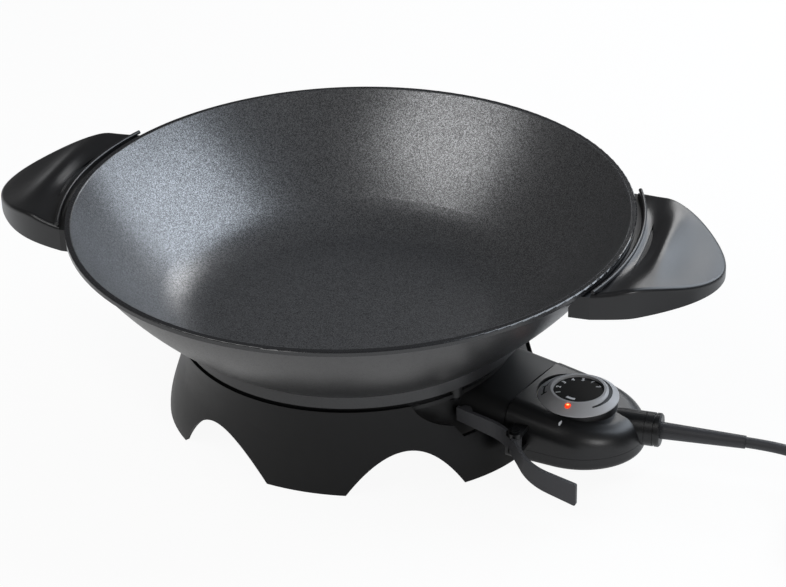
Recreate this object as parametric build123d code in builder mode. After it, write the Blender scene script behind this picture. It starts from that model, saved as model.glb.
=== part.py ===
"""Electric wok: a cast pan with two moulded handles on a four-footed skirt, and a pull-out
thermostat plug with a knob, a release lever and its mains lead.

Millimetres, +Z up.  The origin is on the table under the centre of the pan, +X points to the
right-hand handle and -Y to the front.  The thermostat plug goes in under the right-hand handle,
turned a little to the front, so it has a frame of its own: s runs outwards along the plug,
u runs across it and z is up.
"""
import os
from math import acos, atan2, cos, degrees, pi, radians, sin, sqrt, tan

from build123d import *

os.makedirs("parts", exist_ok=True)

# ---------------------------------------------------------------- driving sizes
# fits
seat = 0.3                  # a piece standing on the one that carries it
running = 0.08              # radial play of a pin or shaft that turns
sliding = 0.4               # radial play of the sensor and the contact pins
past = 1.0                  # how far a cut runs on past the surface it opens

# pan
rim_radius = 185.0
rim_height = 151.0
lip_depth = 3.2
lip_edge = 0.8
lip_overhang = 2.5
wall = 3.0
wall_curve = 260.0          # radius of the bowl's section
ring_radius = 115.2         # foot ring under the bowl
ring_width = 5.0
ring_drop = 2.0             # how far the foot ring stands below the floor
bowl_start = 76.0           # height at which the bowl leaves the foot ring
floor_under = 70.0
floor_thick = 6.0
floor_fillet = 60.0
lug_proud = 2.0             # how far the cast lugs for the handles stand out past the rim
lug_width = 34.0
lug_drop = 16.5             # from the rim to a lug's underside
lug_thick = 7.0
lug_skin = 1.5              # metal left over the blind screw holes
rib_width = 18.0            # the cast rib that holds the sensor tube
rib_under = 5.0             # metal left under the bore
rib_corner = 3.0
rib_inner = 34.0
rib_outer = 84.0

# skirt
skirt_top = 65.5
skirt_radius = 116.0
skirt_wall = 3.0
waist_height = 42.0
waist_x = 117.5
waist_y = 113.0
flare_height = 18.0
flare_x = 125.5
flare_y = 111.5
foot_x = 129.0
foot_y = 111.0
collar_height = 2.2         # narrow step at the top of the skirt
collar_inset = 2.5
flange_thick = 3.0
flange_inner = 100.0
arch_turn = 56.0            # the arches lie at this angle to the handles
arch_half = 38.5
arch_height = 32.0
notch_half = 82.0           # scoop in the skirt for the plug
notch_bend = 70.5
notch_bend_height = 50.0
notch_shoulder = 57.0
notch_shoulder_height = 42.0
notch_floor_half = 52.0
notch_floor = 32.2
skirt_screw_circle = 105.0
skirt_screw_turn = 60.0

# handles, heights measured down from the rim and reach outwards from it
handle_gap = 3.6            # from the rim to the handle's inner edge
handle_corner = 71.0        # half the length of the inner edge
handle_reach = 60.5
handle_tuck = 8.5           # how far the lower part reaches in under the lip
handle_under_drop = 20.0
handle_top_drop = 1.0
handle_tip_drop = 13.5
valley_at = 10.5            # the valley's line, outwards from the rim
valley_depth = 3.2
ridge_at = 20.5             # the ridge that the fingers hook over
ridge_rise = 1.3
side_share = 0.62           # how much of both is left at the ends of the slot
tip_room = 6.0              # the slope is cut on past the tip
shoulder_at = 19.5          # outline between the inner edge and the tip
shoulder_half = 60.0
shoulder_fall = 0.25
cheek_at = 45.5
cheek_half = 36.5
slope_at = 30.0             # a point on the slope from the ridge to the tip
slope_drop = 2.0
bead_radius = 1.3           # raised bead along the inner edge
bead_short = 0.4            # degrees by which it stops short of the handle's corner
slot_half = 30.0            # slender sunk slot in the valley
slot_width = 3.2
slot_depth = 0.9
handle_edge = 2.6
lip_room = 1.3              # height left under the lip before the handle starts
handle_screw_inset = 6.0    # from the lug's end to its screws
handle_screw_spread = 11.0

# plug: where it lies
plug_turn = -10.0           # degrees from the handle's axis towards the front
contact_height = 44.0
pin_spread = 14.0
pin_radius = 2.4
sensor_radius = 3.0
sensor_tip = 42.0
guard_start = 93.0
guard_end = 131.0
guard_half = 39.0
guard_under = 36.0
guard_end_under = 31.0
guard_wall = 2.6
guard_corner = 16.0
guard_end_corner = 13.5
guard_crown = 4.0
mouth_turn = 6.0            # degrees by which the guard's mouth is cut oblique
apron_low = 20.0            # the guard's apron hangs down to this height inside the skirt
apron_radius = 102.6
apron_half = 60.0
wing_low = 40.0             # its ends stop higher, clear of the arches
guard_flange_half = 74.0
guard_flange_inner = 98.6
guard_flange_outer = 108.0
guard_flange_thick = 2.8
guard_post_at = 95.5
guard_post_line = 44.0
guard_post_radius = 4.6
roof_start = 55.1
roof_slope = 10.4           # degrees the roof falls outwards

# plug: the moulded housing
dome_at = 162.0             # distance of the dome's centre from the pan's axis
dome_long = 44.0
dome_half = 38.5
dome_under = 14.6
split_height = 24.5
dome_round = 14.0
under_round = 5.0
shell_wall = 7.0
shell_floor = 3.5
shell_roof = 5.0
shell_front = 5.5
front_edge = 0.5            # bevel round the housing's front
parting = 0.2               # seam between the shells
shell_screw_turn = 52.0
shell_screw_at = 146.0
shell_screw_line = 29.0
shell_screw_inset = 9.0
shell_boss_radius = 4.0
tongue_start = 101.0        # insulator that carries the contacts
tongue_half = 21.0
tongue_under = 38.8
tongue_top = 47.8
socket_radius = 3.4
socket_depth = 19.0

# knob
knob_radius = 26.2
knob_rim = 1.1              # height of the knob's outer edge, where its slope starts
knob_height = 6.2           # height of the knob beside its disc
knob_lift = 1.36            # how far the knob's level seat is above the roof at its centre
knob_boss_drop = 9.0
knob_room = 0.8             # gap round the knob where it is sunk in the roof
knob_gap = 0.4
knob_wall = 1.6
disc_radius = 16.4
disc_sunk = 1.5
disc_thick = 2.5
wedge_outer = 21.8          # sunk wedge that shows how hot it gets
wedge_inner = 19.3
wedge_thin = 0.9            # width of its low end
wedge_depth = 0.5
wedge_start = -53.0
wedge_wide = 15.0
wedge_end = 175.0
lens_circle = 20.0
lens_turn = -97.0
lens_radius = 2.0
lens_proud = 0.5
hub_wall = 2.2
knob_edge = 0.5
disc_edge = 0.6
wedge_tip = 1.2             # the wedge's tip lies this far inside its outer edge
lamp_radius = 2.2
lamp_circle = 11.0
shaft_radius = 3.0
shaft_length = 15.6
cam_radius = 5.0
cam_thick = 2.0

# small hardware
tube_radius = 4.2           # sensor tube
tube_bore = 48.0
handle_screw_radius = 2.0
handle_screw_head = 3.8
handle_screw_head_thick = 2.2
handle_screw_proud = 1.5
skirt_screw_radius = 1.8
skirt_screw_bite = 4.5
clearance_hole = 0.4        # added to a screw's radius where it only passes

# lever
lever_thick = 2.6
lever_line = -44.5          # centre of the straight part, across the plug
lever_pad_line = -72.0
lever_start = 97.0
lever_bend = 131.0
lever_pad_start = 160.0
lever_end = 191.5
lever_low_start = 39.0
lever_low_end = 16.5
lever_high_start = 48.6
lever_high_end = 32.0
pivot_at = 139.0
pivot_line = -48.0
pivot_radius = 1.5
eye_radius = 4.4
eye_low = 31.0
eye_high = 39.0
bracket_thick = 3.2
eye_room = 1.2
nose_at = 103.0             # bump on the lever that bears on the guard
nose_half = 4.0
lever_tip_round = 1.2
lever_turn_start = 25.0
lever_turn_end = 30.0

# cord
cord_radius = 3.5
cord_height = 31.0
boss_radius = 11.0
spout_proud = 0.7           # how far the spout stands out of the housing
boss_length = 10.0
boss_groove = 0.8
groove_at = 3.4
groove_width = 1.2
boss_edge = 1.0
neck_radius = 8.0
sleeve_length = 54.0
sleeve_root = 5.6
sleeve_tip = 4.2
coil_x = 356.0
coil_columns = 2
coil_layers = 3
coil_middle = 39.0          # radius at the middle of the turns
tie_thick = 0.6
tie_width = 12.0
tie_slack = 0.6             # room between the tie and the coil's sides
coil_edge = 2.8
plug_body_radius = 18.5
plug_body_length = 38.0
plug_neck_radius = 5.0
plug_neck_length = 12.0
plug_shoulder_radius = 7.5
plug_grip_start = 18.0
plug_grip_radius = 15.5
plug_face_thick = 5.0
mains_pin_radius = 2.4
mains_pin_length = 19.0
mains_pin_spread = 9.5


# ---------------------------------------------------------------- frames of reference
out = Vector(cos(radians(plug_turn)), sin(radians(plug_turn)), 0)
across = Vector(-out.Y, out.X, 0)


def level(z):
    """Horizontal plane of the plug's frame at height z: local x is s, local y is u."""
    return Plane(origin=(0, 0, z), x_dir=out, z_dir=(0, 0, 1))


def section(s):
    """Plane square to the plug at distance s: local x is u, local y is z."""
    return Plane(origin=out * s, x_dir=across, z_dir=out)


def elevation(u):
    """Upright plane along the plug, u across: local x is s, local y is z."""
    return Plane(origin=across * u, x_dir=out, z_dir=-across)


def keep(builder, name):
    """Label a finished piece and write it out."""
    builder.part.label = name
    export_step(builder.part, f"parts/{name}.step")


dome_centre = out * dome_at


def dome_level(z):
    """Horizontal plane at the dome's centre, square to the handles."""
    return Plane(origin=(dome_centre.X, dome_centre.Y, z), x_dir=(1, 0, 0), z_dir=(0, 0, 1))


# ---------------------------------------------------------------- pan
lip_bottom = rim_height - lip_depth
wall_top = rim_radius - lip_overhang
ring_bottom = floor_under - ring_drop
floor_top = floor_under + floor_thick
lug_reach = rim_radius + lug_proud
lug_low = rim_height - lug_drop
handle_screw_at = lug_reach - handle_screw_inset
handle_screw_spots = [
    (side * handle_screw_at, spread)
    for side in (-1, 1)
    for spread in (-handle_screw_spread, handle_screw_spread)
]
skirt_screw_spots = [
    (skirt_screw_circle * cos(radians(turn)), skirt_screw_circle * sin(radians(turn)))
    for turn in (skirt_screw_turn, 180 - skirt_screw_turn, 180 + skirt_screw_turn, -skirt_screw_turn)
]
guard_posts = [(guard_post_at, guard_post_line), (guard_post_at, -guard_post_line)]


def arc_centre(low, high, radius):
    """Centre of the bowl's section, which bulges outwards and down."""
    chord = Vector(*high) - Vector(*low)
    middle = (Vector(*high) + Vector(*low)) * 0.5
    rise = sqrt(radius**2 - (chord.length / 2) ** 2)
    inward = Vector(-chord.Y, chord.X, 0).normalized()
    return middle + inward * rise


def on_arc(centre, radius, height):
    """Radius from the pan's axis of the section arc at a height."""
    return centre.X + sqrt(radius**2 - (height - centre.Y) ** 2)


bowl_centre = arc_centre((ring_radius, bowl_start), (wall_top, lip_bottom), wall_curve)
inner_curve = wall_curve - wall
inner_low = on_arc(bowl_centre, inner_curve, floor_top)
inner_high = on_arc(bowl_centre, inner_curve, rim_height)
middle_height = (lip_bottom + bowl_start) / 2

with BuildPart() as pan:
    with BuildSketch(Plane.XZ):
        with BuildLine():
            Polyline(
                (0, floor_under),
                (ring_radius - ring_width, floor_under),
                (ring_radius - ring_width, ring_bottom),
                (ring_radius, ring_bottom),
                (ring_radius, bowl_start),
            )
            ThreePointArc(
                (ring_radius, bowl_start),
                (on_arc(bowl_centre, wall_curve, middle_height), middle_height),
                (wall_top, lip_bottom),
            )
            Polyline(
                (wall_top, lip_bottom),
                (rim_radius, lip_bottom),
                (rim_radius, rim_height),
                (0, rim_height),
                (0, floor_under),
            )
        make_face()
    revolve(axis=Axis.Z)
    # lugs for the handles
    with BuildSketch(Plane.XY.offset(lug_low)):
        Rectangle(2 * lug_reach, lug_width)
    extrude(amount=lug_thick)
    # the bowl's inside
    with BuildSketch(Plane.XZ):
        with BuildLine():
            Line((0, floor_top), (inner_low, floor_top))
            ThreePointArc(
                (inner_low, floor_top),
                (on_arc(bowl_centre, inner_curve, middle_height), middle_height),
                (inner_high, rim_height),
            )
            Polyline((inner_high, rim_height), (0, rim_height), (0, floor_top))
        bowl_face = make_face()
        corner = bowl_face.vertices().sort_by_distance((inner_low, floor_top, 0))[0]
        fillet(corner, radius=floor_fillet)
    revolve(axis=Axis.Z, mode=Mode.SUBTRACT)
    # rib with the bore for the sensor tube
    with BuildSketch(level(contact_height - rib_under)):
        with Locations(((rib_inner + rib_outer) / 2, 0)):
            RectangleRounded(rib_outer - rib_inner, rib_width, rib_corner)
    extrude(amount=floor_under + ring_drop / 2 - contact_height + rib_under)
    # softened lip
    rim_edges = pan.edges().group_by(Axis.Z)[-1]
    fillet(rim_edges, radius=lip_edge)
    # bore for the sensor tube, blind
    with BuildSketch(section(rib_outer)):
        with Locations((0, contact_height)):
            Circle(tube_radius + running)
    extrude(amount=-tube_bore, mode=Mode.SUBTRACT)
    # screw holes under the lugs and in the floor
    with BuildSketch(Plane.XY.offset(lug_low)):
        with Locations(*handle_screw_spots):
            Circle(handle_screw_radius)
    extrude(amount=lug_thick - lug_skin, mode=Mode.SUBTRACT)
    with BuildSketch(Plane.XY.offset(floor_under)):
        with Locations(*skirt_screw_spots):
            Circle(skirt_screw_radius)
    extrude(amount=skirt_screw_bite, mode=Mode.SUBTRACT)
    with BuildSketch(level(floor_under)):
        with Locations(*guard_posts):
            Circle(skirt_screw_radius)
    extrude(amount=skirt_screw_bite, mode=Mode.SUBTRACT)
keep(pan, "pan")


# ---------------------------------------------------------------- heating parts under the pan
element_radius = 4.0
element_circle = 74.0
element_gap_turn = 24.0     # the element's ends stop this far either side of the plug's line
element_height = floor_under - seat - element_radius
with BuildPart() as heating_element:
    with BuildLine(level(element_height)) as element_path:
        CenterArc((0, 0), element_circle, element_gap_turn, 360 - 2 * element_gap_turn)
    with BuildSketch(Plane(element_path.line @ 0, z_dir=element_path.line % 0)):
        Circle(element_radius)
    sweep()
keep(heating_element, "heating_element")

clamp_thick = 1.5
clamp_half = 8.0
clamp_gap = 40.0            # length cut out of the clamp where the element's ends stop
stud_spread = 5.8
stud_size = 1.4
clamp_top = element_height - element_radius - seat
with BuildPart() as element_clamp:
    with BuildSketch(level(clamp_top - clamp_thick)):
        Circle(element_circle + clamp_half)
        Circle(element_circle - clamp_half, mode=Mode.SUBTRACT)
        with Locations((element_circle, 0)):
            gap_width = 2 * (element_circle * sin(radians(element_gap_turn)) + element_radius / 2)
            Rectangle(clamp_gap, gap_width, mode=Mode.SUBTRACT)
    extrude(amount=clamp_thick)
    with BuildSketch(level(clamp_top)):
        with PolarLocations(element_circle - stud_spread, 3, 90, 180, endpoint=True):
            Circle(stud_size)
    extrude(amount=floor_under - seat - clamp_top)
keep(element_clamp, "element_clamp")

shield_thick = 1.0
shield_rim = 109.0
shield_wall = 98.0
shield_under = 37.0
shield_bevel = 8.0
shield_top = floor_under - seat
bevel_shift = shield_thick * (sqrt(2) - 1)
window_half = guard_half + 5 * seat
window_height = 27.0
with BuildPart() as heat_shield:
    with BuildSketch(Plane.XZ):
        with BuildLine():
            Polyline(
                (0, shield_under),
                (shield_wall - shield_bevel, shield_under),
                (shield_wall, shield_under + shield_bevel),
                (shield_wall, shield_top - shield_thick),
                (shield_rim, shield_top - shield_thick),
                (shield_rim, shield_top),
                (shield_wall - shield_thick, shield_top),
                (shield_wall - shield_thick, shield_under + shield_bevel + bevel_shift),
                (shield_wall - shield_bevel - bevel_shift, shield_under + shield_thick),
                (0, shield_under + shield_thick),
                (0, shield_under),
            )
        make_face()
    revolve(axis=Axis.Z)
    with BuildSketch(section(rib_outer)):
        with Locations((0, shield_under - shield_thick)):
            Rectangle(2 * window_half, window_height, align=(Align.CENTER, Align.MIN))
    extrude(amount=shield_rim, mode=Mode.SUBTRACT)
    with BuildSketch(Plane.XY.offset(shield_top)):
        with Locations(*skirt_screw_spots):
            Circle(skirt_screw_radius + clearance_hole)
    extrude(amount=-shield_thick, mode=Mode.SUBTRACT)
    with BuildSketch(level(shield_top)):
        with Locations(*guard_posts):
            Circle(skirt_screw_radius + clearance_hole)
    extrude(amount=-shield_thick, mode=Mode.SUBTRACT)
keep(heat_shield, "heat_shield")

# block that holds the contact pins and the sensor tube's mouth
block_start = rib_outer + seat
block_length = 15.0
block_half = 24.0
block_under = 38.5
block_top = 50.0
block_chamfer = 2.0
with BuildPart() as terminal_block:
    with BuildSketch(section(block_start)):
        with BuildLine():
            Polyline(
                (-block_half, block_under),
                (block_half, block_under),
                (block_half, block_top),
                (-block_half, block_top),
                close=True,
            )
        make_face()
        with Locations((0, contact_height)):
            Circle(tube_radius + running, mode=Mode.SUBTRACT)
        with Locations((-pin_spread, contact_height), (pin_spread, contact_height)):
            Circle(pin_radius + running, mode=Mode.SUBTRACT)
    extrude(amount=block_length)
    top_edges = terminal_block.faces().sort_by(Axis.Z)[-1].edges()
    chamfer(top_edges.sort_by(lambda edge: abs((edge @ 0.5).dot(across)))[-2:], length=block_chamfer)
keep(terminal_block, "terminal_block")

pin_start = block_start + shield_thick
pin_length = 34.0
for name, side in (("live_pin", -1), ("neutral_pin", 1)):
    with BuildPart() as contact_pin:
        with BuildSketch(section(pin_start)):
            with Locations((side * pin_spread, contact_height)):
                Circle(pin_radius)
        extrude(amount=pin_length)
        fillet(contact_pin.faces().sort_by(Axis.X)[-1].edges(), radius=pin_radius * 0.6)
    keep(contact_pin, name)

tube_start = rib_outer - tube_bore + seat
tube_length = block_start + block_length - tube_start
tube_end = 1.0              # the tube's closed end
with BuildPart() as sensor_tube:
    with BuildSketch(section(tube_start)):
        with Locations((0, contact_height)):
            Circle(tube_radius)
    extrude(amount=tube_length)
    with BuildSketch(section(tube_start + tube_length)):
        with Locations((0, contact_height)):
            Circle(sensor_radius + sliding)
    extrude(amount=tube_end - tube_length, mode=Mode.SUBTRACT)
keep(sensor_tube, "sensor_tube")

# spring strip that earths the sensor
earth_half = 4.0
earth_thick = 0.8
earth_reach = 9.0           # how far the strip stands out of the block
with BuildPart() as earth_strip:
    with BuildSketch(section(block_start)):
        with Locations((0, block_top + seat / 3 + earth_thick / 2)):
            Rectangle(2 * earth_half, earth_thick)
    extrude(amount=block_length + earth_reach)
keep(earth_strip, "earth_strip")


# ---------------------------------------------------------------- skirt
collar_radius = skirt_radius - collar_inset
collar_top = skirt_top + collar_height
under_flange = collar_top - flange_thick
skirt_forms = [
    (0, foot_x, foot_y),
    (flare_height, flare_x, flare_y),
    (waist_height, waist_x, waist_y),
]
round_top = 0.01            # keeps the top section an ellipse, as the lower ones are
cut_start = 60.0            # arches and scoop are cut from inside the skirt outwards
cut_length = 100.0

with BuildPart() as base_skirt:
    for height, half_x, half_y in skirt_forms + [(skirt_top, skirt_radius, skirt_radius - round_top)]:
        with BuildSketch(Plane.XY.offset(height)):
            Ellipse(half_x, half_y)
    loft()
    # narrow collar at the top
    with BuildSketch(Plane.XY.offset(skirt_top)):
        Circle(collar_radius)
    extrude(amount=collar_height)
    # hollow inside
    for height, half_x, half_y in skirt_forms + [(under_flange, collar_radius, collar_radius - round_top)]:
        with BuildSketch(Plane.XY.offset(height)):
            Ellipse(half_x - skirt_wall, half_y - skirt_wall)
    loft(mode=Mode.SUBTRACT)
    with BuildSketch(Plane.XY.offset(collar_top)):
        Circle(flange_inner)
    extrude(amount=-2 * flange_thick, mode=Mode.SUBTRACT)
    # arches between the feet
    for turn in (arch_turn, 180 - arch_turn, 180 + arch_turn, -arch_turn):
        radial = Vector(cos(radians(turn)), sin(radians(turn)), 0)
        with BuildSketch(Plane(origin=radial * cut_start, x_dir=(-radial.Y, radial.X, 0), z_dir=radial)):
            with BuildLine():
                Bezier((-arch_half, 0), (0, 2 * arch_height), (arch_half, 0))
                Line((arch_half, 0), (-arch_half, 0))
            make_face()
        extrude(amount=cut_length, mode=Mode.SUBTRACT)
    # scoop for the plug
    with BuildSketch(section(cut_start)):
        with BuildLine():
            for side in (-1, 1):
                ThreePointArc(
                    (side * notch_half, collar_top + lip_edge),
                    (side * notch_bend, notch_bend_height),
                    (side * notch_shoulder, notch_shoulder_height),
                )
                Line((side * notch_shoulder, notch_shoulder_height), (side * notch_floor_half, notch_floor))
            Line((-notch_floor_half, notch_floor), (notch_floor_half, notch_floor))
            Line((-notch_half, collar_top + lip_edge), (notch_half, collar_top + lip_edge))
        make_face()
    extrude(amount=cut_length, mode=Mode.SUBTRACT)
    with BuildSketch(Plane.XY.offset(collar_top)):
        with Locations(*skirt_screw_spots):
            Circle(skirt_screw_radius + clearance_hole)
    extrude(amount=-2 * flange_thick, mode=Mode.SUBTRACT)
keep(base_skirt, "base_skirt")

skirt_screw_head = 3.4
skirt_screw_head_thick = 2.4
screw_end_room = 0.5        # left beyond a screw's tip in its hole
touch = 0.1                 # bare clearance of parts that are screwed together
with BuildPart() as skirt_screws:
    with BuildSketch(Plane.XY.offset(under_flange - touch)):
        with Locations(*skirt_screw_spots):
            Circle(skirt_screw_head)
    extrude(amount=-skirt_screw_head_thick)
    fillet(skirt_screws.edges().group_by(Axis.Z)[0], radius=skirt_screw_head_thick / 2)
    with BuildSketch(Plane.XY.offset(under_flange - touch)):
        with Locations(*skirt_screw_spots):
            Circle(skirt_screw_radius - running)
    extrude(amount=floor_under + skirt_screw_bite - screw_end_room - under_flange)
keep(skirt_screws, "skirt_screws")


# ---------------------------------------------------------------- plug guard, fixed under the pan
mouth_side = sin(radians(mouth_turn))
mouth_way = out * cos(radians(mouth_turn)) - across * mouth_side
mouth_across = across * cos(radians(mouth_turn)) + out * mouth_side
mouth_plane = Plane(origin=out * guard_end, x_dir=mouth_across, z_dir=mouth_way)
guard_run = guard_end - guard_start + 1.2 * guard_half * tan(radians(mouth_turn))


def guard_section(at, inset):
    """Section of the guard at distance s, drawn in by its wall where it is the hollow."""
    share = (at - guard_start) / guard_run
    roof = roof_start - (at - guard_start) * tan(radians(roof_slope)) - inset
    half = guard_half - inset
    corner = guard_corner + (guard_end_corner - guard_corner) * share
    floor_line = guard_under + (guard_end_under - guard_under) * share
    if inset > 0:
        floor_line -= guard_wall
    with BuildSketch(section(at)) as face:
        with BuildLine():
            Polyline((-half, roof), (-half, floor_line), (half, floor_line), (half, roof))
            ThreePointArc((half, roof), (0, roof + guard_crown), (-half, roof))
        outline = make_face()
        shoulders = outline.vertices().group_by(Axis.Y)[-1]
        fillet(shoulders, radius=corner - inset)
    return face


guard_flange_top = roof_start + guard_crown + 2 * seat
flange_under = guard_flange_top - guard_flange_thick
with BuildPart() as plug_guard:
    shell_ends = [guard_section(at, 0) for at in (guard_start, guard_start + guard_run)]
    loft([shell_ends[0].sketch, shell_ends[1].sketch])
    split(bisect_by=mouth_plane, keep=Keep.BOTTOM)
    # fan-shaped flange that follows the pan's foot ring
    with BuildSketch(level(guard_flange_top)):
        Circle(guard_flange_outer)
        Circle(guard_flange_inner, mode=Mode.SUBTRACT)
        with Locations((guard_flange_outer, 0)):
            Rectangle(guard_flange_outer, 2 * guard_flange_half, mode=Mode.INTERSECT)
    extrude(amount=-guard_flange_thick)
    # apron behind the scoop, between the skirt and the heat shield
    for low, half in ((apron_low, apron_half), (wing_low, guard_flange_half)):
        with BuildSketch(level(low)):
            Circle(apron_radius)
            Circle(apron_radius - guard_wall, mode=Mode.SUBTRACT)
            with Locations((apron_radius, 0)):
                Rectangle(apron_radius, 2 * half, mode=Mode.INTERSECT)
        extrude(amount=flange_under - low)
    with BuildSketch(level(flange_under)):
        with Locations(*guard_posts):
            Circle(skirt_screw_head + seat)
    extrude(amount=-2 * skirt_screw_head_thick, mode=Mode.SUBTRACT)
    hollow = [guard_section(at, guard_wall) for at in (guard_start - 1, guard_start + guard_run + 1)]
    loft([hollow[0].sketch, hollow[1].sketch], mode=Mode.SUBTRACT)
    # posts that carry it under the pan's floor, bored for their screws
    with BuildSketch(level(flange_under)):
        with Locations(*guard_posts):
            Circle(guard_post_radius)
    extrude(amount=shield_top - shield_thick - seat - flange_under)
    with BuildSketch(level(shield_top)):
        with Locations(*guard_posts):
            Circle(skirt_screw_radius + clearance_hole)
    extrude(amount=flange_under - shield_top, mode=Mode.SUBTRACT)
keep(plug_guard, "plug_guard")

guard_screw_head_top = flange_under - touch
with BuildPart() as guard_screws:
    with BuildSketch(level(guard_screw_head_top)):
        with Locations(*guard_posts):
            Circle(skirt_screw_head)
    extrude(amount=-skirt_screw_head_thick)
    with BuildSketch(level(guard_screw_head_top)):
        with Locations(*guard_posts):
            Circle(skirt_screw_radius - running)
    extrude(amount=floor_under + skirt_screw_bite - screw_end_room - guard_screw_head_top)
keep(guard_screws, "guard_screws")


# ---------------------------------------------------------------- handles
handle_inner = rim_radius + handle_gap
handle_tip = rim_radius + handle_reach
handle_root = rim_radius - handle_tuck
handle_under = rim_height - handle_under_drop
handle_top = rim_height - handle_top_drop
handle_step = lip_bottom - lip_room
handle_screw_head_under = handle_under - handle_screw_proud
corner_x = sqrt(handle_inner**2 - handle_corner**2)
root_x = sqrt(handle_root**2 - handle_corner**2)
bead_circle = handle_inner + bead_radius + running
bead_turn = degrees(atan2(handle_corner, corner_x)) - bead_short
slot_circle = rim_radius + valley_at
slot_x = sqrt(slot_circle**2 - slot_half**2)
top_stations = [(-handle_corner - past, 0), (-slot_half, side_share), (0, 1)]
top_stations += [(slot_half, side_share), (handle_corner + past, 0)]


def follow(radius, y):
    """Distance x at which a circle round the pan's axis passes y."""
    return sqrt(radius**2 - y**2)


def above_handle(y, share):
    """Section at y of what is cut away above a handle; share says how deep the valley is there."""
    line = [
        (handle_root - handle_corner, handle_top),
        (follow(handle_inner, y), handle_top),
        (follow(rim_radius + valley_at, y), handle_top - valley_depth * share),
        (rim_radius + ridge_at, handle_top + ridge_rise * share),
        (rim_radius + slope_at, handle_top - slope_drop),
        (handle_tip, rim_height - handle_tip_drop),
        (handle_tip + tip_room, rim_height - handle_tip_drop - tip_room / 2),
    ]
    roof = rim_height + handle_corner
    with BuildSketch(Plane(origin=(0, y, 0), x_dir=(1, 0, 0), z_dir=(0, -1, 0))) as face:
        with BuildLine():
            Spline(*line)
            Polyline(line[-1], (line[-1][0], roof), (line[0][0], roof), line[0])
        make_face()
    return face.sketch


def on_top_outline(edge):
    """True for the edges between a handle's top and its side."""
    middle = edge @ 0.5
    level_run = abs((edge @ 0).Z - (edge @ 1).Z) < valley_at
    return level_run and middle.X > corner_x + handle_edge and middle.Z > handle_under + handle_edge


for name, half_turn in (("handle_right", 0), ("handle_left", 180)):
    with BuildPart() as handle:
        with BuildSketch(Plane.XY.offset(handle_under)):
            # plan: the arc under the lip, then round to the blunt tip and back
            with BuildLine():
                ThreePointArc((root_x, -handle_corner), (handle_root, 0), (root_x, handle_corner))
                Line((root_x, handle_corner), (corner_x, handle_corner))
                Spline(
                    (corner_x, handle_corner),
                    (rim_radius + shoulder_at, shoulder_half),
                    (rim_radius + cheek_at, cheek_half),
                    (handle_tip, 0),
                    (rim_radius + cheek_at, -cheek_half),
                    (rim_radius + shoulder_at, -shoulder_half),
                    (corner_x, -handle_corner),
                    tangents=[(1, -shoulder_fall), (-1, -shoulder_fall)],
                )
                Line((corner_x, -handle_corner), (root_x, -handle_corner))
            make_face()
        extrude(amount=rim_height + 2 * ridge_rise - handle_under)
        # valley, ridge and slope of the top
        sections = [above_handle(y, share) for y, share in top_stations]
        loft(sections, mode=Mode.SUBTRACT)
        fillet(handle.edges().filter_by(on_top_outline), radius=handle_edge)
        # step that leaves room for the lip
        with BuildSketch(Plane.XY.offset(handle_step)):
            Circle(handle_inner)
        extrude(amount=handle_under_drop, mode=Mode.SUBTRACT)
        # hollow that follows the bowl
        with BuildSketch(Plane.XZ):
            with BuildLine():
                seat_arc = ThreePointArc(*[
                    (on_arc(bowl_centre, wall_curve + seat, height), height)
                    for height in (handle_under - past, lug_low, rim_height)
                ])
                Polyline(seat_arc @ 1, (0, rim_height), (0, handle_under - past), seat_arc @ 0)
            make_face()
        revolve(axis=Axis.Z, mode=Mode.SUBTRACT)
        # bead along the inner edge and slender slot in the valley
        with BuildSketch(Plane(origin=(0, 0, 0), x_dir=Vector(1, 0, 0).rotate(Axis.Z, -bead_turn),
                               z_dir=Vector(0, -1, 0).rotate(Axis.Z, -bead_turn))):
            with Locations((bead_circle, handle_top)):
                Circle(bead_radius)
        revolve(axis=Axis.Z, revolution_arc=2 * bead_turn)
        with BuildSketch(Plane.XY.offset(handle_top - valley_depth - slot_depth)):
            with BuildLine():
                for side in (-1, 1):
                    middle = slot_circle + side * slot_width / 2
                    ThreePointArc((slot_x, -slot_half), (middle, 0), (slot_x, slot_half))
            make_face()
        extrude(amount=2 * valley_depth, mode=Mode.SUBTRACT)
        # pocket for the pan's lug
        with BuildSketch(Plane.XY.offset(lug_low - seat)):
            Rectangle(2 * (lug_reach + 2 * seat), lug_width + 2 * seat)
        extrude(amount=lug_thick + 2 * seat, mode=Mode.SUBTRACT)
        # holes for the screws from below
        with BuildSketch(Plane.XY.offset(handle_under - past)):
            with Locations(*handle_screw_spots):
                Circle(handle_screw_radius + clearance_hole)
        extrude(amount=lug_low - handle_under + past, mode=Mode.SUBTRACT)
        with BuildSketch(Plane.XY.offset(handle_screw_head_under + handle_screw_head_thick + seat)):
            with Locations(*handle_screw_spots):
                Circle(handle_screw_head + seat)
        extrude(amount=-handle_screw_head_thick, mode=Mode.SUBTRACT)
    handle.part.orientation = (0, 0, half_turn)
    keep(handle, name)

with BuildPart() as handle_screws:
    with BuildSketch(Plane.XY.offset(handle_screw_head_under)):
        with Locations(*handle_screw_spots):
            Circle(handle_screw_head)
    extrude(amount=handle_screw_head_thick)
    with BuildSketch(Plane.XY.offset(handle_screw_head_under)):
        with Locations(*handle_screw_spots):
            Circle(handle_screw_radius - running)
    extrude(amount=lug_low + lug_thick - lug_skin - screw_end_room - handle_screw_head_under)
keep(handle_screws, "handle_screws")


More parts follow.
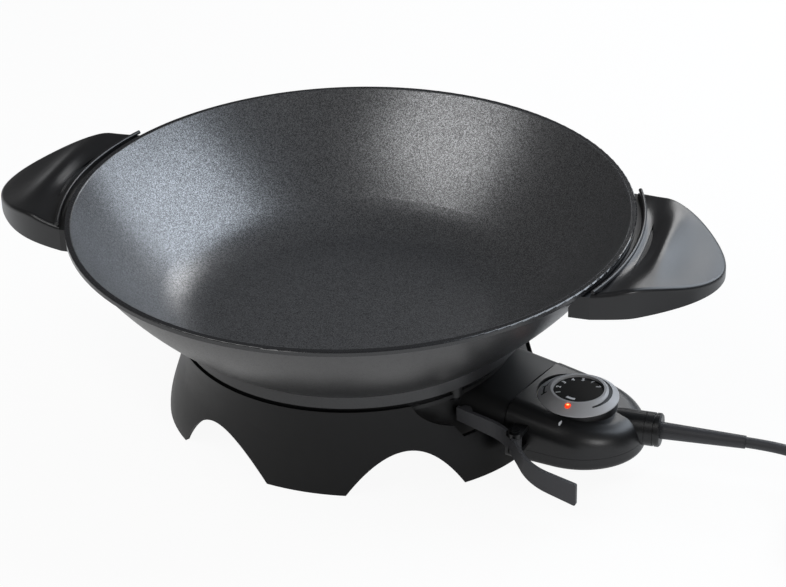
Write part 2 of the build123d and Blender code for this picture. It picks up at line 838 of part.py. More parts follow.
# ---------------------------------------------------------------- housing of the plug
front = guard_end + seat
boss_start = dome_centre.X + dome_long + spout_proud
dome_top = roof_start + guard_crown - (dome_at - guard_start) * tan(radians(roof_slope))
tilt = Vector(sin(radians(roof_slope)), 0, cos(radians(roof_slope)))
top_point = Vector(dome_centre.X, dome_centre.Y, dome_top)
top_plane = Plane(origin=top_point, x_dir=Vector(tilt.Z, 0, -tilt.X), z_dir=tilt)
knob_seat = dome_level(dome_top + knob_lift)
housing_start = guard_end - 2 * guard_half * tan(radians(mouth_turn))
floor_level = dome_under + shell_floor


def dome_outline(inset, start):
    """Plan of the housing about the dome's centre: an oval that runs straight on to the guard."""
    long_half = dome_long - inset
    short_half = dome_half - inset
    corners = []
    turns = []
    for side in (-1, 1):
        corner = out * start + across * (side * (guard_half - inset)) - dome_centre
        stretched = Vector(corner.X, corner.Y * long_half / short_half, 0)
        turn = degrees(atan2(stretched.Y, stretched.X)) - side * degrees(acos(long_half / stretched.length))
        corners.append((corner.X, corner.Y))
        turns.append(turn)
    with BuildSketch() as outline:
        with BuildLine():
            oval = EllipticalCenterArc((0, 0), long_half, short_half, turns[0], arc_size=turns[1] - turns[0])
            Polyline(oval @ 1, corners[1], corners[0], oval @ 0)
        make_face()
    return outline.sketch


def dome_solid(inset, low, roof, start):
    """Solid under the sloping roof plane, from a height upwards, behind a plane across the plug."""
    with BuildPart() as solid:
        with BuildSketch(dome_level(low)):
            add(dome_outline(inset, start))
        extrude(amount=2 * dome_top)
        split(bisect_by=top_plane.offset(-roof), keep=Keep.BOTTOM)
    return solid


def beyond_front(edge):
    """True for an edge that isn't part of the open front."""
    return (edge @ 0.5 - out * housing_start).dot(out) > past


with BuildPart() as knob_boss:
    with BuildSketch(knob_seat):
        Circle(knob_radius - knob_room)
    extrude(amount=-knob_boss_drop)
    split(bisect_by=top_plane.offset(-shell_roof), keep=Keep.TOP)

with BuildPart() as dome_body:
    add(dome_solid(0, dome_under, 0, housing_start).part)
    fillet(dome_body.faces().sort_by(Axis.Z)[-1].edges().filter_by(beyond_front), radius=dome_round)
    fillet(dome_body.faces().sort_by(Axis.Z)[0].edges().filter_by(beyond_front), radius=under_round)
    # oblique front that meets the guard's mouth
    split(bisect_by=mouth_plane.offset(seat), keep=Keep.TOP)
    mouth = dome_body.faces().sort_by(lambda face: (face.center() - out * front).dot(mouth_way))[0]
    chamfer(mouth.edges(), length=front_edge)
    # spout that the collar sits against
    with BuildSketch(Plane.YZ.offset(dome_centre.X)):
        with Locations((dome_centre.Y, cord_height)):
            Circle(boss_radius)
    extrude(amount=boss_start - dome_centre.X)
    add(dome_solid(shell_wall, floor_level, shell_roof, front + shell_front).part, mode=Mode.SUBTRACT)
    # level seat of the knob, sunk in the roof on one side and standing out of it on the other
    with BuildSketch(knob_seat):
        Circle(knob_radius + knob_room)
    extrude(amount=2 * knob_radius, mode=Mode.SUBTRACT)
    add(knob_boss.part)
    # seat of the collar's neck
    with BuildSketch(Plane.YZ.offset(boss_start)):
        with Locations((dome_centre.Y, cord_height)):
            Circle(neck_radius + seat)
    extrude(amount=-2 * shell_wall, mode=Mode.SUBTRACT)

shell_screw_spots = [
    Vector(shell_screw_at * out.X - side * shell_screw_line * out.Y,
           shell_screw_at * out.Y + side * shell_screw_line * out.X, 0)
    for side in (-1, 1)
] + [
    dome_centre + Vector(
        (dome_long - shell_screw_inset) * cos(radians(shell_screw_turn)),
        side * (dome_half - shell_screw_inset) * sin(radians(shell_screw_turn)),
        0,
    )
    for side in (-1, 1)
]
shell_screw_radius = 1.5
shell_screw_head = 2.8
shell_screw_head_thick = 1.8
shell_screw_sunk = 0.8
shell_screw_head_low = dome_under + shell_screw_sunk
shell_screw_tip = 35.0
head_pocket = shell_screw_head_low + shell_screw_head_thick + touch

bracket_reach = shell_wall / 2 - pivot_line - guard_half
with BuildPart() as upper_shell:
    add(dome_body.part)
    split(bisect_by=Plane.XY.offset(split_height + parting / 2), keep=Keep.TOP)
    # bosses for the screws
    with BuildSketch(Plane.XY.offset(split_height + parting / 2)):
        with Locations(*shell_screw_spots):
            Circle(shell_boss_radius)
    extrude(amount=shell_screw_tip + shell_boss_radius / 2 - split_height)
    with BuildSketch(Plane.XY.offset(split_height)):
        with Locations(*shell_screw_spots):
            Circle(shell_screw_radius)
    extrude(amount=shell_screw_tip + screw_end_room - split_height, mode=Mode.SUBTRACT)
    # window for the tongue that carries the contacts
    with BuildSketch(section(housing_start)):
        with Locations((0, (tongue_under + tongue_top) / 2)):
            Rectangle(2 * (tongue_half + seat), tongue_top - tongue_under + 2 * seat)
    extrude(amount=front + shell_front + past - housing_start, mode=Mode.SUBTRACT)
    # hole for the knob's shaft and the one the lamp looks through
    with BuildSketch(knob_seat):
        Circle(shaft_radius + running)
        with Locations((0, -lamp_circle)):
            Circle(lamp_radius + seat)
    extrude(amount=-knob_boss_drop - past, mode=Mode.SUBTRACT)
    # bracket for the lever
    for low in (eye_low - seat - bracket_thick, eye_high + seat):
        with BuildSketch(level(low)):
            with Locations((pivot_at, pivot_line)):
                Circle(eye_radius)
            with Locations((pivot_at, pivot_line)):
                Rectangle(2 * eye_radius, bracket_reach, align=(Align.CENTER, Align.MIN))
        extrude(amount=bracket_thick)
    with BuildSketch(level(eye_low - seat - bracket_thick)):
        with Locations((pivot_at, pivot_line)):
            Circle(pivot_radius + running / 2)
    extrude(amount=eye_high - eye_low + 2 * (seat + bracket_thick), mode=Mode.SUBTRACT)
keep(upper_shell, "upper_shell")

with BuildPart() as lower_shell:
    add(dome_body.part)
    split(bisect_by=Plane.XY.offset(split_height - parting / 2), keep=Keep.BOTTOM)
    with BuildSketch(Plane.XY.offset(shell_screw_head_low)):
        with Locations(*shell_screw_spots):
            Circle(shell_boss_radius)
    extrude(amount=split_height - parting / 2 - shell_screw_head_low)
    with BuildSketch(Plane.XY.offset(head_pocket)):
        with Locations(*shell_screw_spots):
            Circle(shell_screw_head + seat)
    extrude(amount=-2 * shell_floor, mode=Mode.SUBTRACT)
    with BuildSketch(Plane.XY.offset(head_pocket)):
        with Locations(*shell_screw_spots):
            Circle(shell_screw_radius + clearance_hole)
    extrude(amount=split_height - head_pocket, mode=Mode.SUBTRACT)
keep(lower_shell, "lower_shell")

with BuildPart() as shell_screws:
    with BuildSketch(Plane.XY.offset(shell_screw_head_low)):
        with Locations(*shell_screw_spots):
            Circle(shell_screw_head)
    extrude(amount=shell_screw_head_thick)
    with BuildSketch(Plane.XY.offset(shell_screw_head_low)):
        with Locations(*shell_screw_spots):
            Circle(shell_screw_radius - running)
    extrude(amount=shell_screw_tip - shell_screw_head_low)
keep(shell_screws, "shell_screws")


# ---------------------------------------------------------------- contacts and sensor of the plug
flange_back = front + shell_front + seat
flange_length = 2.6
flange_side = tongue_half + 2.4
flange_low = tongue_under - 3.0
flange_high = tongue_top - 4.2
tongue_corner = 2.5
socket_start = tongue_start + past
socket_end = flange_back - tongue_corner
with BuildPart() as contact_insulator:
    with BuildSketch(section(tongue_start)):
        with Locations((0, (tongue_under + tongue_top) / 2)):
            RectangleRounded(2 * tongue_half, tongue_top - tongue_under, tongue_corner)
    extrude(amount=flange_back - tongue_start)
    with BuildSketch(section(flange_back)):
        with Locations((0, (flange_low + flange_high) / 2)):
            Rectangle(2 * flange_side, flange_high - flange_low)
    extrude(amount=flange_length)
    with BuildSketch(section(tongue_start)):
        with Locations((-pin_spread, contact_height), (pin_spread, contact_height)):
            Circle(socket_radius + running)
        with Locations((0, contact_height)):
            Circle(sensor_radius + running)
    extrude(amount=socket_end - tongue_start + seat, mode=Mode.SUBTRACT)
keep(contact_insulator, "contact_insulator")

for name, side in (("live_socket", -1), ("neutral_socket", 1)):
    with BuildPart() as contact_socket:
        with BuildSketch(section(socket_start)):
            with Locations((side * pin_spread, contact_height)):
                Circle(socket_radius)
        extrude(amount=socket_end - socket_start)
        with BuildSketch(section(socket_start)):
            with Locations((side * pin_spread, contact_height)):
                Circle(pin_radius + sliding)
        extrude(amount=socket_depth, mode=Mode.SUBTRACT)
    keep(contact_socket, name)

with BuildPart() as sensor_probe:
    with BuildSketch(section(sensor_tip)):
        with Locations((0, contact_height)):
            Circle(sensor_radius)
    extrude(amount=socket_end - sensor_tip)
    fillet(sensor_probe.faces().sort_by(Axis.X)[0].edges(), radius=sensor_radius * 0.6)
keep(sensor_probe, "sensor_probe")


# ---------------------------------------------------------------- thermostat inside the housing
ceramic_inset = 4.0
block_spot = dome_centre - Vector(ceramic_inset, 0, 0)
ceramic_length = 26.0
ceramic_width = 20.0
ceramic_corner = 2.0
ceramic_height = 8.6
ceramic_top = floor_level + touch + ceramic_height
with BuildPart() as thermostat_block:
    with BuildSketch(Plane.XY.offset(floor_level + touch)):
        with Locations(block_spot):
            RectangleRounded(ceramic_length, ceramic_width, ceramic_corner)
    extrude(amount=ceramic_height)
keep(thermostat_block, "thermostat_block")

strip_thick = 0.9
strip_width = 7.0
strip_length = 34.0
strip_base = ceramic_top + touch
with BuildPart() as bimetal_strip:
    with BuildSketch(Plane.XY.offset(strip_base)):
        with Locations(block_spot):
            Rectangle(strip_length, strip_width)
    extrude(amount=strip_thick)
keep(bimetal_strip, "bimetal_strip")

stud_radius = 2.0
stud_height = 1.4
leaf_thick = 0.5
leaf_width = 5.0
leaf_base = strip_base + strip_thick + touch
with BuildPart() as contact_leaf:
    with BuildSketch(Plane.XY.offset(leaf_base)):
        with Locations(block_spot - Vector(ceramic_length / 2 - stud_radius, 0, 0)):
            Circle(stud_radius)
    extrude(amount=stud_height + leaf_thick)
    with BuildSketch(Plane.XY.offset(leaf_base + stud_height)):
        with Locations(block_spot):
            Rectangle(ceramic_length, leaf_width)
    extrude(amount=leaf_thick)
keep(contact_leaf, "contact_leaf")

lamp_proud = 0.3
lamp_depth = 11.0
with BuildPart() as neon_lamp:
    with BuildSketch(knob_seat.offset(lamp_proud)):
        with Locations((0, -lamp_circle)):
            Circle(lamp_radius)
    extrude(amount=-lamp_depth)
    fillet(neon_lamp.faces().sort_by(Axis.Z)[-1].edges(), radius=lamp_radius * 0.5)
keep(neon_lamp, "neon_lamp")


# ---------------------------------------------------------------- knob
disc_seat = knob_height - disc_thick - disc_sunk
hub_radius = shaft_radius + hub_wall
crown_radius = disc_radius + knob_wall
knob_slope = (knob_height - knob_rim) / (knob_radius - crown_radius)
lens_base = knob_height - (lens_circle - crown_radius) * knob_slope
with BuildPart() as knob_ring:
    with BuildSketch(Plane.XZ):
        with BuildLine():
            Polyline(
                (0, knob_gap),
                (hub_radius, knob_gap),
                (hub_radius, disc_seat - knob_wall),
                (crown_radius, disc_seat - knob_wall),
                (knob_radius - knob_wall, knob_gap),
                (knob_radius, knob_gap),
                (knob_radius, knob_rim),
                (crown_radius, knob_height),
                (disc_radius + running, knob_height),
                (disc_radius + running, disc_seat),
                (0, disc_seat),
                close=True,
            )
        face = make_face()
        corner = face.vertices().sort_by_distance((knob_radius, knob_rim, 0))[0]
        fillet(corner, radius=knob_edge)
    revolve(axis=Axis.Z)

# sunk wedge, wide where it is hot and thin next to the lens
with BuildPart() as wedge:
    with BuildSketch():
        with BuildLine():
            rim_arc = CenterArc((0, 0), wedge_outer, wedge_start, wedge_end - wedge_start)
            tip, near_tip, wide, narrow, end = [
                PolarLine((0, 0), radius, turn, mode=Mode.PRIVATE) @ 1
                for radius, turn in (
                    (wedge_outer - wedge_tip, wedge_start),
                    (wedge_inner + wedge_tip / 2, (wedge_start + wedge_wide) / 2),
                    (wedge_inner, wedge_wide),
                    (wedge_outer - 2 * wedge_thin, (wedge_wide + wedge_end) / 2),
                    (wedge_outer - wedge_thin, wedge_end),
                )
            ]
            ThreePointArc(tip, near_tip, wide)
            ThreePointArc(wide, narrow, end)
            Line(tip, rim_arc @ 0)
            Line(end, rim_arc @ 1)
        make_face()
    extrude(amount=knob_height)
    with BuildSketch(Plane.XZ):
        with BuildLine():
            Polyline(
                (0, -past),
                (knob_radius, -past),
                (knob_radius, knob_rim - wedge_depth),
                (crown_radius, knob_height - wedge_depth),
                (0, knob_height - wedge_depth),
                close=True,
            )
        make_face()
    revolve(axis=Axis.Z, mode=Mode.SUBTRACT)

with BuildPart() as knob_cap:
    add(knob_ring.part)
    add(wedge.part, mode=Mode.SUBTRACT)
    # seats of the lens and the shaft
    with BuildSketch(Plane.XY.offset(knob_height)):
        with PolarLocations(lens_circle, 1, lens_turn):
            Circle(lens_radius + running)
    extrude(amount=-knob_height, mode=Mode.SUBTRACT)
    with BuildSketch(Plane.XY.offset(knob_gap)):
        Circle(shaft_radius + running)
    extrude(amount=disc_seat - knob_wall - knob_gap, mode=Mode.SUBTRACT)

with BuildPart() as knob_disc:
    with BuildSketch(Plane.XY.offset(disc_seat + touch)):
        Circle(disc_radius - running)
    extrude(amount=disc_thick - touch)
    fillet(knob_disc.edges().group_by(Axis.Z)[-1], radius=disc_edge)

with BuildPart() as pilot_lens:
    with BuildSketch(Plane.XY.offset(knob_gap + seat)):
        with PolarLocations(lens_circle, 1, lens_turn):
            Circle(lens_radius)
    extrude(amount=lens_base + lens_proud - knob_gap - seat)
    fillet(pilot_lens.edges().group_by(Axis.Z)[-1], radius=lens_proud)

with BuildPart() as knob_shaft:
    with BuildSketch(Plane.XY.offset(disc_seat - knob_wall - touch)):
        Circle(shaft_radius)
    extrude(amount=-shaft_length)
    with BuildSketch(Plane.XY.offset(disc_seat - knob_wall - touch - shaft_length)):
        Circle(cam_radius)
    extrude(amount=cam_thick)

for name, piece in (
    ("knob_ring", knob_cap),
    ("knob_disc", knob_disc),
    ("pilot_lens", pilot_lens),
    ("knob_shaft", knob_shaft),
):
    piece.part.location = knob_seat.location
    keep(piece, name)


# ---------------------------------------------------------------- release lever
with BuildPart() as release_lever:
    with BuildSketch(level(0)):
        with BuildLine() as lever_path:
            FilletPolyline(
                (lever_start, lever_line),
                (lever_bend, lever_line),
                (lever_pad_start, lever_pad_line),
                (lever_end, lever_pad_line),
                radius=[lever_turn_start, lever_turn_end],
            )
        trace(line_width=lever_thick)
        with Locations((nose_at, lever_line)):
            Ellipse(nose_half, -lever_line - guard_half - seat)
        with Locations((nose_at, lever_line - lever_thick / 2)):
            Rectangle(4 * nose_half, 2 * guard_half, align=(Align.CENTER, Align.MAX), mode=Mode.SUBTRACT)
    extrude(amount=lever_high_start + past)
    # side view: falls towards the pad
    with BuildSketch(elevation(0)):
        with BuildLine():
            Polyline(
                (lever_start - past, lever_low_start),
                (lever_end, lever_low_end),
                (lever_end, lever_high_end),
                (lever_start - past, lever_high_start),
                close=True,
            )
        band = make_face()
        fillet(band.vertices().group_by(Axis.X)[-1], radius=lever_tip_round)
    extrude(amount=-2 * lever_pad_line, both=True, mode=Mode.INTERSECT)
    # room for the bracket, and the eye between its two lugs
    with BuildSketch(level(eye_high)):
        with Locations((pivot_at, pivot_line)):
            Circle(eye_radius + eye_room)
    extrude(amount=lever_high_start, mode=Mode.SUBTRACT)
    with BuildSketch(level(eye_low)):
        with Locations((pivot_at, pivot_line)):
            Circle(eye_radius + eye_room)
    extrude(amount=-eye_low, mode=Mode.SUBTRACT)
    with BuildSketch(level(eye_low)):
        with Locations((pivot_at, pivot_line)):
            Circle(eye_radius)
    extrude(amount=eye_high - eye_low)
    with BuildSketch(level(eye_low)):
        with Locations((pivot_at, pivot_line)):
            Circle(pivot_radius + running)
    extrude(amount=eye_high - eye_low, mode=Mode.SUBTRACT)
keep(release_lever, "release_lever")

with BuildPart() as lever_pin:
    with BuildSketch(level(eye_low - seat - bracket_thick)):
        with Locations((pivot_at, pivot_line)):
            Circle(pivot_radius)
    extrude(amount=eye_high - eye_low + 2 * (seat + bracket_thick) + touch)
    with BuildSketch(level(eye_high + seat + bracket_thick + touch)):
        with Locations((pivot_at, pivot_line)):
            Circle(2 * pivot_radius)
    extrude(amount=pivot_radius)
keep(lever_pin, "lever_pin")


# ---------------------------------------------------------------- cord
cord_line = dome_centre.Y
collar_end = boss_start + boss_length
groove_end = collar_end - groove_at
with BuildPart() as cord_collar:
    with BuildSketch(Plane.XY):
        with BuildLine():
            Polyline(
                (dome_centre.X + dome_long - shell_wall, 0),
                (dome_centre.X + dome_long - shell_wall, neck_radius),
                (boss_start + parting, neck_radius),
                (boss_start + parting, boss_radius),
                (groove_end - groove_width, boss_radius),
                (groove_end - groove_width, boss_radius - boss_groove),
                (groove_end, boss_radius - boss_groove),
                (groove_end, boss_radius),
                (collar_end - boss_edge, boss_radius),
                (collar_end, boss_radius - boss_edge),
                (collar_end, 0),
                close=True,
            )
        make_face()
    revolve(axis=Axis.X)
cord_collar.part.position = (0, cord_line, cord_height)
keep(cord_collar, "cord_collar")

sleeve_end = collar_end + sleeve_length
with BuildPart() as strain_relief:
    with BuildSketch(Plane.YZ.offset(collar_end)) as sleeve_foot:
        with Locations((cord_line, cord_height)):
            Circle(sleeve_root)
    with BuildSketch(Plane.YZ.offset(sleeve_end)) as sleeve_mouth:
        with Locations((cord_line, cord_height)):
            Circle(sleeve_tip)
    loft()
keep(strain_relief, "strain_relief")

coil_outer = coil_middle + coil_columns * cord_radius
coil_inner = coil_middle - coil_columns * cord_radius
coil_y = cord_line - coil_outer + cord_radius
coil_low = tie_thick + touch
top_turn = coil_low + (2 * coil_layers - 1) * cord_radius
middle_turn = top_turn - 2 * cord_radius
cord_points = [
    (sleeve_end, cord_line, cord_height),
    (284, cord_line, 30.8),
    (302, cord_line, 28.2),
    (321, cord_line, 22.9),
    (339, cord_line, 19.1),
    (coil_x, cord_line, top_turn),
]
plug_height = plug_body_radius + touch
tail_points = [
    (coil_x, cord_line, middle_turn),
    (374, cord_line - 0.5, 12.2),
    (391, cord_line - 2, 15.6),
    (408, cord_line - 3.5, plug_height),
]


def corner_radii(points):
    """Largest radius at each inner point that leaves a straight piece in every run."""
    radii = []
    for before, point, after in zip(points, points[1:], points[2:]):
        arriving = Vector(*point) - Vector(*before)
        leaving = Vector(*after) - Vector(*point)
        shorter = min(arriving.length, leaving.length)
        radii.append(0.45 * shorter / tan(radians(arriving.get_angle(leaving)) / 2))
    return radii


for name, points in (("mains_cord", cord_points), ("cord_tail", tail_points)):
    radii = corner_radii(points)
    with BuildPart() as tube:
        with BuildLine() as route:
            FilletPolyline(*points, radius=radii)
        with BuildSketch(Plane(route.line @ 0, z_dir=route.line % 0)):
            Circle(cord_radius)
        sweep()
    bare = route.wire().length * pi * cord_radius**2
    print(name, "radii", [round(radius) for radius in radii], "volume", round(tube.part.volume / bare, 4))
    keep(tube, name)

with BuildPart() as cord_coil:
    with BuildSketch(Plane.XY.offset(coil_low)):
        with Locations((coil_x, coil_y)):
            Circle(coil_outer)
            Circle(coil_inner, mode=Mode.SUBTRACT)
    extrude(amount=2 * coil_layers * cord_radius)
    fillet(cord_coil.edges(), radius=coil_edge)
keep(cord_coil, "cord_coil")

tie_long = 2 * (coil_columns * cord_radius + tie_slack)
tie_high = 2 * coil_layers * cord_radius
with BuildPart() as cord_tie:
    with BuildSketch(Plane.YZ.offset(coil_x - tie_width / 2)):
        with Locations((coil_y - coil_middle, coil_low + coil_layers * cord_radius)):
            Rectangle(tie_long + 2 * tie_thick, tie_high + 2 * tie_thick)
            Rectangle(tie_long, tie_high, mode=Mode.SUBTRACT)
    extrude(amount=tie_width)
keep(cord_tie, "cord_tie")

plug_start = tail_points[-1][0]
plug_line = tail_points[-1][1]
with BuildPart() as mains_plug:
    with BuildSketch(Plane.XY):
        with BuildLine():
            Polyline(
                (plug_start, 0),
                (plug_start, plug_neck_radius),
                (plug_start + plug_neck_length, plug_shoulder_radius),
                (plug_start + plug_grip_start, plug_grip_radius),
                (plug_start + plug_body_length - plug_face_thick - past, plug_grip_radius),
                (plug_start + plug_body_length - plug_face_thick, plug_body_radius),
                (plug_start + plug_body_length, plug_body_radius),
                (plug_start + plug_body_length, 0),
                close=True,
            )
        make_face()
    revolve(axis=Axis.X)
mains_plug.part.position = (0, plug_line, plug_height)
keep(mains_plug, "mains_plug")

with BuildPart() as mains_plug_pins:
    with BuildSketch(Plane.YZ.offset(plug_start + plug_body_length)):
        with Locations(
            (plug_line - mains_pin_spread, plug_height),
            (plug_line + mains_pin_spread, plug_height),
        ):
            Circle(mains_pin_radius)
    extrude(amount=mains_pin_length)
    fillet(mains_plug_pins.faces().sort_by(Axis.X)[-2:].edges(), radius=mains_pin_radius * 0.6)
keep(mains_plug_pins, "mains_plug_pins")
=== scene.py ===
"""An electric wok: a coated pan on a moulded base, with its control plug, cord and mains plug.

Lengths are written in millimetres, and those times MM are in metres. The frame's own pieces keep
their meshes and get their finishes here. The lead, the print on the knob, the pointer and the room
are made here.
"""
import math

import bmesh
import bpy
from mathutils import Matrix, Quaternion, Vector


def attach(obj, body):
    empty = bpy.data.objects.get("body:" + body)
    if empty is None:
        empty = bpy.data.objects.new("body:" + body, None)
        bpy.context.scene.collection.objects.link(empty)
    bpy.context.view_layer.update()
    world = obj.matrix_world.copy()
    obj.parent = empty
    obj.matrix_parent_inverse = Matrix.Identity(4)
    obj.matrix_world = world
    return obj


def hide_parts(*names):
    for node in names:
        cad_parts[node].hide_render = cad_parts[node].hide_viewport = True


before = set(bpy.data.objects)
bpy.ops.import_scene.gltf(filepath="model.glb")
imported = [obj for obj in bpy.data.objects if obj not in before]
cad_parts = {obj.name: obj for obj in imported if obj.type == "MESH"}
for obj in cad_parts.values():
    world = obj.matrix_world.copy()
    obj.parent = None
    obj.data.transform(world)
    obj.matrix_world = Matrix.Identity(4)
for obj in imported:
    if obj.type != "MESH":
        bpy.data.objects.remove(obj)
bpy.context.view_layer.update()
scene = bpy.context.scene
scene.view_settings.view_transform = "Standard"

MM = 0.001

# ------------------------------------------------------------------ camera
picture_width = 786
focal_pixels = 2400
camera_turn = math.radians(17.676)
camera_elevation = math.radians(29.542)
camera_roll = math.radians(-1.478)
camera_distance = 1589.306 * MM
aim = Vector((26.009, 0, 84.634)) * MM

camera = bpy.data.objects.new("camera", bpy.data.cameras.new("camera"))
camera.data.sensor_width = 36
camera.data.lens = focal_pixels / picture_width * camera.data.sensor_width
camera.data.clip_end = 20
camera.matrix_world = (
    Matrix.Rotation(camera_turn, 4, "Z")
    @ Matrix.Translation(aim)
    @ Matrix.Rotation(math.pi / 2 - camera_elevation, 4, "X")
    @ Matrix.Rotation(camera_roll, 4, "Z")
    @ Matrix.Translation((0, 0, camera_distance))
)
scene.collection.objects.link(camera)
scene.camera = camera

# ------------------------------------------------------------------ cord
cord_radius = 3.5 * MM
cord_line = -28.131
cord_points = [
    (268.239, cord_line, 31.0),
    (284, cord_line, 30.8),
    (302, cord_line, 28.2),
    (321, cord_line, 22.9),
    (339, cord_line, 19.1),
    (356, cord_line, 18.2),
]
tail_points = [
    (374, cord_line - 0.5, 12.2),
    (391, cord_line - 2, 15.6),
    (408, cord_line - 3.5, 18.6),
]
coil_x = 356
coil_y = -70.631
outer_turn = 42.5
inner_turn = 35.5
top_layer = 18.2
middle_layer = 11.2
bottom_layer = 4.2
turns = [
    (outer_turn, top_layer),
    (inner_turn, top_layer),
    (inner_turn, middle_layer),
    (inner_turn, bottom_layer),
    (outer_turn, bottom_layer),
    (outer_turn, middle_layer),
    (outer_turn, middle_layer),
]
points_per_turn = 16
crossing_share = 0.3            # share of a turn in which it changes place


def coil_points():
    """The turns, clockwise from where the cord arrives, each passing to the next one's place."""
    # The curve cuts the corners between its points, so they stand a little outside the turn.
    spread = 1 / math.cos(math.pi / points_per_turn)
    points = []
    for step in range(1, points_per_turn * (len(turns) - 1)):
        turn, share = divmod(step / points_per_turn, 1)
        passed = max(0.0, (share - 1 + crossing_share) / crossing_share)
        passed = passed * passed * (3 - 2 * passed)
        (radius, level), (next_radius, next_level) = turns[int(turn)], turns[int(turn) + 1]
        radius = (radius + (next_radius - radius) * passed) * spread
        level += (next_level - level) * passed
        angle = math.pi / 2 - 2 * math.pi * share
        x = coil_x + radius * math.cos(angle)
        y = coil_y + radius * math.sin(angle)
        points.append((x, y, level))
    return points


def nurbs_line(name, points):
    """An open curve that follows its points smoothly, in metres."""
    line = bpy.data.curves.new(name, "CURVE")
    line.dimensions = "3D"
    line.resolution_u = 8
    spline = line.splines.new("NURBS")
    spline.points.add(len(points) - 1)
    for point, place in zip(spline.points, points):
        point.co = (*[part * MM for part in place], 1)
    spline.order_u = 3
    spline.use_endpoint_u = True
    holder = bpy.data.objects.new(name, line)
    scene.collection.objects.link(holder)
    return holder


def plain_mesh(holder):
    """The mesh of an object as its curve, text or modifiers make it."""
    ready = holder.evaluated_get(bpy.context.evaluated_depsgraph_get())
    return bpy.data.meshes.new_from_object(ready)


def new_piece(name, mesh, body):
    """A piece of the object that moves with a body."""
    piece = bpy.data.objects.new(name, mesh)
    scene.collection.objects.link(piece)
    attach(piece, body)
    return piece


exit_turn = (coil_x, cord_line, middle_layer)
route = nurbs_line("cord_route", cord_points + coil_points() + [exit_turn] + tail_points)
route_line = [vertex.co.copy() for vertex in plain_mesh(route).vertices]


# ------------------------------------------------------------------ geometry trees
class Shaping:
    """A geometry tree with named sizes, whose result is made a plain mesh."""

    def __init__(self, name, sizes):
        self.sizes = sizes
        self.tree = bpy.data.node_groups.new(name, "GeometryNodeTree")
        self.socket("Geometry", "INPUT", "NodeSocketGeometry")
        self.socket("Geometry", "OUTPUT", "NodeSocketGeometry")
        self.keys = {size: self.socket(size, "INPUT", "NodeSocketFloat") for size in sizes}
        self.entry = self.tree.nodes.new("NodeGroupInput")
        self.exit = self.tree.nodes.new("NodeGroupOutput")

    def node(self, kind, settings=None, inputs=None, output=0):
        """One output of a new node, whose inputs are links or plain constants."""
        made = self.tree.nodes.new(kind)
        for name, setting in (settings or {}).items():
            setattr(made, name, setting)
        for name, given in (inputs or {}).items():
            if isinstance(given, bpy.types.NodeSocket):
                self.tree.links.new(given, made.inputs[name])
            else:
                made.inputs[name].default_value = given
        return made.outputs[output]

    def socket(self, name, side, kind):
        """A new socket of the tree, told by its identifier."""
        made = self.tree.interface.new_socket(name, in_out=side, socket_type=kind)
        return made.identifier

    def size(self, name):
        """The link to one of the tree's named sizes."""
        return self.entry.outputs[name]

    def mesh(self, start, result, finish):
        """The plain mesh that the tree makes of an object, which is then removed."""
        solid = self.node("GeometryNodeRealizeInstances", None, {"Geometry": result})
        done = self.node("GeometryNodeSetMaterial", None, {"Geometry": solid, "Material": finish})
        self.tree.links.new(done, self.exit.inputs[0])
        modifier = start.modifiers.new("shaping", "NODES")
        modifier.node_group = self.tree
        for size, key in self.keys.items():
            modifier[key] = self.sizes[size]
        made = plain_mesh(start)
        start.modifiers.remove(modifier)
        bpy.data.objects.remove(start)
        return made


# ------------------------------------------------------------------ shader tools
class Value:
    """A socket of a shader, on which sums are written as in Python."""

    def __init__(self, finish, socket):
        self.finish = finish
        self.socket = socket

    def sum(self, operation, *others, clamp=False):
        """The value after one step of arithmetic with the others."""
        settings = {"operation": operation, "use_clamp": clamp}
        return self.finish.node("ShaderNodeMath", settings, dict(enumerate((self, *others))))

    def __add__(self, other):
        return self.sum("ADD", other)

    __radd__ = __add__

    def __sub__(self, other):
        return self.sum("SUBTRACT", other)

    def __rsub__(self, other):
        return self.finish.node(
            "ShaderNodeMath", {"operation": "SUBTRACT"}, {0: other, 1: self}
        )

    def __mul__(self, other):
        return self.sum("MULTIPLY", other)

    __rmul__ = __mul__

    def __truediv__(self, other):
        return self.sum("DIVIDE", other)

    def between(self, low, high):
        """0 below low and 1 above high, with a soft step between."""
        return self.finish.node(
            "ShaderNodeMapRange",
            {"interpolation_type": "SMOOTHSTEP"},
            {"Value": self, "From Min": low, "From Max": high},
        )

    def held(self):
        """The value, kept from 0 to 1."""
        return self.sum("ADD", 0.0, clamp=True)


